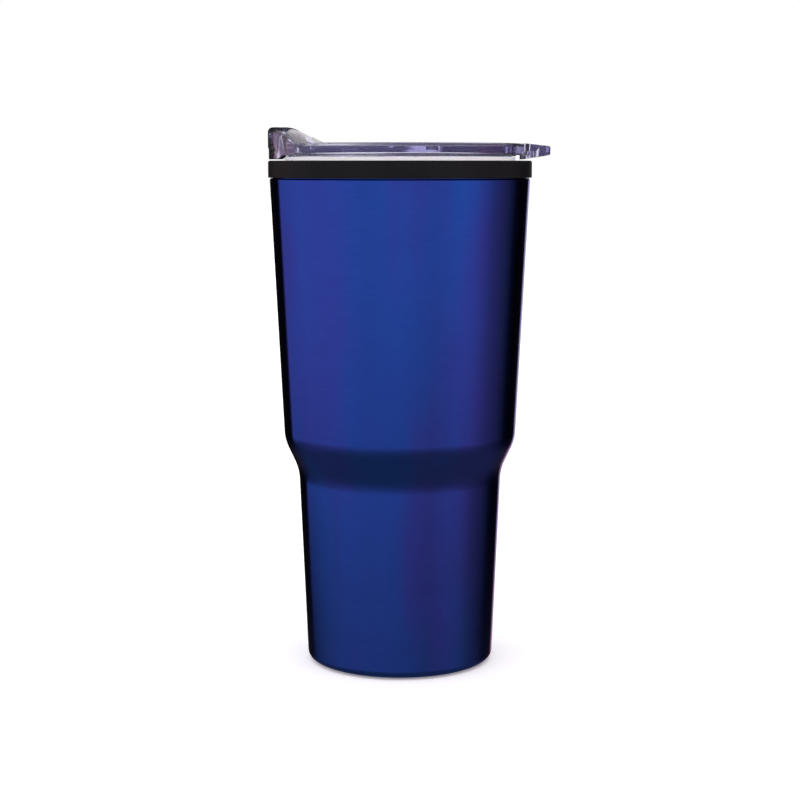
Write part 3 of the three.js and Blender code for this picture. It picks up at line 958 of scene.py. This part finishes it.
def flange_point(ahead, radius, height, edge, bulge):
    """Where a point of the flange's underside goes: it opens into the hollow under the spout."""
    front = edge - SET_BACK * bulge
    wall_inside = front - SPOUT_WALL
    roof = max(top_at(ahead, radius) - SPOUT_WALL, LID_BOTTOM)
    if radius > LID_RADIUS - FLANGE_BEVEL - NEAR:
        return front - (LID_RADIUS - radius), height - SKIRT_DROP * bulge
    if radius > SKIRT_RING - RING_REACH:
        return blend(radius, wall_inside + 0.3, bulge), height - SKIRT_DROP * bulge
    if radius > ROOF_RINGS[1] - RING_REACH:
        return blend(radius, wall_inside - 0.1, bulge), blend(height, roof, bulge)
    if radius > ROOF_RINGS[0] - RING_REACH:
        return blend(radius, ROOF_RINGS[0] - 0.1, bulge), blend(height, roof, bulge)
    return radius, height


def lift_tab():
    """A thumb tab at the back, drawn down at its end, with a hollow underside."""
    root = LID_RADIUS - RIM_WALL / 2
    tab = block("tab", (root, -TAB_HALF, SKIRT_BOTTOM), (TAB_END, TAB_HALF, LID_TOP))

    def at_end(point):
        return point.co.x > root + 1

    def upright_at_end(side):
        upright = abs(side.verts[0].co.y - side.verts[1].co.y) < 1
        return upright and all(at_end(point) for point in side.verts)

    def sharp_outside(side):
        return side.calc_face_angle(0) > 0.6 and all(point.co.x > root + 0.1 for point in side.verts)

    edit(tab)
    pick(tab, "verts", at_end)
    narrowing = (1, TAB_END_HALF / TAB_HALF, 1)
    bpy.ops.transform.resize(value=narrowing, center_override=(TAB_END, 0, LID_TOP))
    pick(tab, "verts", lambda point: at_end(point) and point.co.z > LID_TOP - 1)
    bpy.ops.transform.translate(value=(0, 0, -TAB_DROP))
    pick(tab, "verts", lambda point: at_end(point) and point.co.z < LID_TOP - 2)
    bpy.ops.transform.translate(value=(0, 0, TAB_RISE))
    pick(tab, "edges", upright_at_end)
    bpy.ops.mesh.bevel(offset=TAB_CORNER, segments=10, affect="EDGES")
    pick(tab, "edges", sharp_outside)
    bpy.ops.mesh.bevel(offset=0.5, segments=4, affect="EDGES")
    low = (LID_RADIUS - 0.5, -TAB_HOLLOW_HALF, SKIRT_BOTTOM - 2)
    high = (TAB_END - TAB_TIP, TAB_HOLLOW_HALF, LID_TOP - 3)
    join_or_cut(tab, block("tab_hollow", low, high, 1), "DIFFERENCE")
    return tab


def spout_core(name, low, high, front_radius):
    """A cutting block whose front is round about the axis and whose top follows the spout's."""
    core = block(name, low, high)
    edit(core)
    bpy.ops.mesh.select_all(action="SELECT")
    bpy.ops.mesh.subdivide(number_cuts=11)
    deselect_everything()
    for point in core.data.vertices:
        front = -math.sqrt(front_radius**2 - point.co.y**2)
        point.co.x = max(point.co.x, front)
        share = (point.co.z - low[2]) / (high[2] - low[2])
        point.co.z = blend(low[2], hill(point.co.x, point.co.y) - SPOUT_WALL, share)
    return core


def lid_cuts():
    """Everything that is open in the lid: port, side hollows, sip slot, track, slot and vent."""
    front = shutter_low.x + 2
    near, far = CORE_SIDES
    cuts = []
    sides = {"port": (-PORT_HALF, PORT_HALF), "left_core": (-far, -near), "right_core": (near, far)}
    for name, (right, left) in sides.items():
        low = (front, right, PLUG_BOTTOM - 4)
        high = (front + PORT_LENGTH, left, SPOUT_TOP)
        cuts.append(spout_core(name, low, high, -front))
    low = (front + 0.5, -SIP_HALF, DECK_TOP)
    high = (front + 5.5, SIP_HALF, SPOUT_TOP + 4)
    cuts.append(block("sip", low, high, 2.3))
    low = (button_low.x - 0.3, button_low.y - 0.3, DECK_TOP - PLATE)
    high = (button_high.x + TRAVEL + 0.3, button_high.y + 0.3, DECK_TOP + 2)
    cuts.append(block("track", low, high, 3.3))
    low = (POST - 2.3, -2.1, DECK_BOTTOM - 2)
    high = (POST + 2.3 + TRAVEL, 2.1, DECK_TOP)
    cuts.append(block("slot", low, high, 0.6))
    place = (VENT_PLACE, 0, DECK_TOP)
    bpy.ops.mesh.primitive_cylinder_add(vertices=32, radius=VENT_RADIUS, depth=8, location=place)
    cuts.append(settle(bpy.context.object))
    return cuts


def guide_ribs():
    """The two rails under the deck that the shutter runs between."""
    ribs = []
    for side in (-1, 1):
        middle = side * (shutter_high.y + RAIL_HALF + 0.3)
        reach = abs(middle) + RAIL_HALF
        front = -math.sqrt(PLUG_INNER**2 - reach**2) + 1
        low = (front, middle - RAIL_HALF, DECK_BOTTOM - RAIL_DEPTH)
        high = (shutter_high.x + TRAVEL, middle + RAIL_HALF, DECK_BOTTOM + 0.5)
        ribs.append(block("rib", low, high, 0, 0.2, 2))
    return ribs


def gasket(material):
    """The silicone ring in the plug's groove, with two soft lips against the bore."""
    inner = GROOVE_FLOOR + FIT
    bottom, top = gasket_low.z, gasket_high.z
    step = (top - bottom) / 6

    def lip(height):
        return bore_at(height) - GASKET_CLEARANCE

    land = lip(bottom) - LIP_LENGTH
    corners = [(inner, bottom, SOFT_ROUND), (land, bottom, 0.1)]
    for k in (1, 3):
        corners.append((lip(bottom + k * step), bottom + k * step, SOFT_ROUND))
        corners.append((land, bottom + (k + 1) * step, SOFT_ROUND))
    corners += [(land, top, 0.1), (inner, top, SOFT_ROUND)]
    ring = turn("plug_gasket", rounded(corners), closed=True)
    finish_piece(ring, "lid", material, "lid_gasket")


# ---- Slide closure ----


def thumb_slide(material):
    """The thumb plate with its grip ridges, and the two snap legs under it."""
    under = DECK_TOP - 0.6
    foot = button_low.z
    low = (button_low.x, button_low.y, under)
    high = (button_high.x, button_high.y, under + PLATE)
    plate = block("thumb_slide", low, high, 3, 0.2)
    half, long_half = RIDGE_HALF
    for k in range(RIDGES):
        x = POST + (k - (RIDGES - 1) / 2) * RIDGE_PITCH
        low = (x - half, -long_half, under + 0.4)
        high = (x + half, long_half, button_high.z)
        join_or_cut(plate, block("ridge", low, high, 0.55, 0.2, 3), "UNION")
    for side in (-1, 1):
        left, right = sorted((POST + side * 0.5, POST + side * 2))
        leg = block("leg", (left, -LEG_HALF, foot), (right, LEG_HALF, under + 0.4), 0, 0.1, 2)
        left, right = sorted((POST + side * 0.5, POST + side * 2.6))
        barb = block("barb", (left, -LEG_HALF, foot), (right, LEG_HALF, foot + 0.6), 0, 0.08, 2)
        join_or_cut(leg, barb, "UNION")
        join_or_cut(plate, leg, "UNION")
    finish_piece(plate, "closure", material, "slide_button")


def round_fronted(name, radius, half, back, bottom, top):
    """A flat piece cut from a disc about the axis, with straight sides and a straight back."""
    deselect_everything()
    bpy.ops.mesh.primitive_circle_add(
        vertices=AROUND, radius=radius, fill_type="NGON", location=(0, 0, bottom)
    )
    piece = settle(bpy.context.object)
    piece.name = name
    edit(piece)
    for place, away in (((0, half, 0), (0, 1, 0)), ((0, -half, 0), (0, -1, 0)), ((back, 0, 0), (1, 0, 0))):
        bpy.ops.mesh.select_all(action="SELECT")
        bpy.ops.mesh.bisect(plane_co=place, plane_no=away, clear_outer=True)
    bpy.ops.mesh.select_all(action="SELECT")
    bpy.ops.mesh.extrude_region_move(TRANSFORM_OT_translate={"value": (0, 0, top - bottom)})
    bpy.ops.mesh.select_all(action="SELECT")
    bpy.ops.mesh.normals_make_consistent(inside=False)
    deselect_everything()
    return piece


def soften(piece, width):
    limit = math.radians(40)
    modify(piece, "BEVEL", width=width, segments=3, limit_method="ANGLE", angle_limit=limit)


def sliding_shutter(material):
    """The plate under the deck that closes the flow port, with a recess for its seal."""
    low, high = shutter_low, shutter_high
    shutter = round_fronted("sliding_shutter", -low.x, high.y, high.x, low.z, high.z)
    sides = (-seal_low.x + FIT, seal_high.y + FIT, seal_high.x + FIT)
    recess = round_fronted("recess", *sides, high.z - RECESS, high.z + 2)
    join_or_cut(shutter, recess, "DIFFERENCE")
    hole = block("hole", (POST - 2.1, -1.9, low.z - 2), (POST + 2.1, 1.9, high.z + 2), 0.3)
    join_or_cut(shutter, hole, "DIFFERENCE")
    soften(shutter, 0.15)
    finish_piece(shutter, "closure", material, "shutter")


def seal_pad(material):
    """The soft pad in the shutter's recess."""
    low, high = seal_low, seal_high
    pad = round_fronted("shutter_seal_pad", -low.x, high.y, high.x, low.z, high.z)
    soften(pad, 0.2)
    finish_piece(pad, "closure", material, "shutter_seal")


# ---- The scene ----
deselect_everything()
camera()
studio()
floor()

steel = blue_lacquered_steel()
black = black_liner_plastic()
rubber = black_foot_rubber()
clear = clear_lid_plastic()
silicone = soft_silicone_with_painted_glow()
plain_steel = bare_steel()

steel_shell(steel)
liner_and_band(black)
lip_ring(silicone)
base_plate(plain_steel)
rubber_foot(rubber)
lid_body(clear)
gasket(silicone)
thumb_slide(clear)
sliding_shutter(clear)
seal_pad(silicone)
